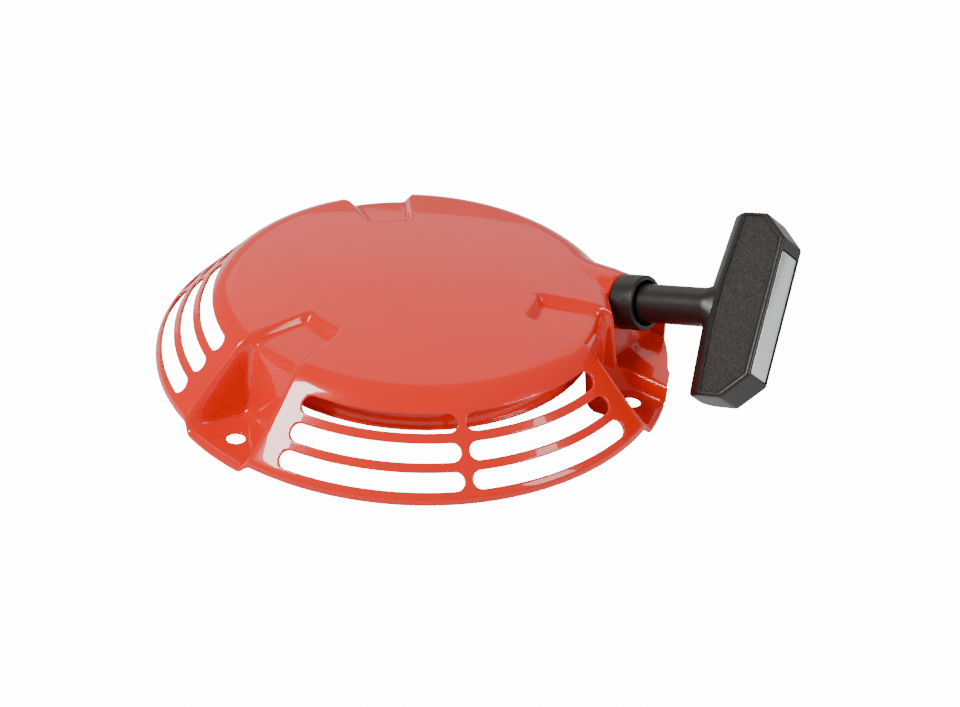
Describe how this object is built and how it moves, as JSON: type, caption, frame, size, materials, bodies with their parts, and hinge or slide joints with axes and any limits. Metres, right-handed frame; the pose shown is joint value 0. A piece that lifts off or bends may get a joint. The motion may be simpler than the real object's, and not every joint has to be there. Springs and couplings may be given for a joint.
{
  "type": "recoil starter",
  "caption": "Pull-rope recoil starter: pressed steel housing on three feet with curved cooling vents, rope reel with recoil spring, two-pawl ratchet and T-shaped grip.",
  "frame": {"origin": "on the crank axis, in the plane of the three feet's undersides, at the flat face of the centre screw's head", "axes": "+Z along the crank axis away from the engine; +X the direction in which the rope is pulled, seen from above"},
  "size_m": [0.2384, 0.2049, 0.0754],
  "materials": {
    "red_paint": "gloss red enamel on pressed steel",
    "black_plastic": "moulded black nylon, finely grained",
    "reel_plastic": "glass-filled nylon",
    "zinc_steel": "zinc plated steel",
    "spring_steel": "blued, oiled spring steel",
    "bright_plate": "plain satin silver insert",
    "rope": "braided nylon starter rope"
  },
  "bodies": {
    "housing": {"case": "red_paint", "inner_cup": "red_paint", "centre_post": "zinc_steel", "thrust_washer": "zinc_steel", "centre_screw": "zinc_steel", "friction_spring": "spring_steel", "rope_guide": "black_plastic", "rope_run": "rope"},
    "reel": {"rope_reel": "reel_plastic", "reel_bush": "zinc_steel", "rope_winding": "rope", "reel_knot": "rope", "recoil_spring": "spring_steel", "pawl_pin_1": "zinc_steel", "pawl_pin_2": "zinc_steel", "pawl_spring_1": "spring_steel", "pawl_spring_2": "spring_steel"},
    "guide_plate": {"ratchet_guide": "zinc_steel"},
    "pawl_a": {"pawl_1": "zinc_steel"},
    "pawl_b": {"pawl_2": "zinc_steel"},
    "handle": {"grip": "black_plastic", "grip_plate": "bright_plate", "grip_knot": "rope", "grip_rope": "rope"}
  },
  "joints": [
    {"name": "handle_pull", "type": "slide", "parent": "housing", "child": "handle", "axis": [0.9461, 0, 0.3239], "range_m": [0, 0.88], "stiffness_N_per_m": 12, "springref_m": -1.5},
    {"name": "reel_spin", "type": "hinge", "parent": "housing", "child": "reel", "pos_m": [0, 0, 0.018], "axis": [0, 0, -1], "range_deg": [0, 880]},
    {"name": "guide_turn", "type": "hinge", "parent": "reel", "child": "guide_plate", "pos_m": [0, 0, 0.0096], "axis": [0, 0, 1], "range_deg": [0, 25]},
    {"name": "pawl_1_swing", "type": "hinge", "parent": "reel", "child": "pawl_a", "pos_m": [0.024, 0, 0.016], "axis": [0, 0, 1], "range_deg": [0, 30.5]},
    {"name": "pawl_2_swing", "type": "hinge", "parent": "reel", "child": "pawl_b", "pos_m": [-0.024, 0, 0.016], "axis": [0, 0, 1], "range_deg": [0, 30.5]}
  ],
  "couplings": [
    {"joint": "reel_spin", "follows": "handle_pull", "rad_per_m": 17.3},
    {"joint": "pawl_1_swing", "follows": "guide_turn", "ratio": 1.2},
    {"joint": "pawl_2_swing", "follows": "guide_turn", "ratio": 1.2}
  ]
}
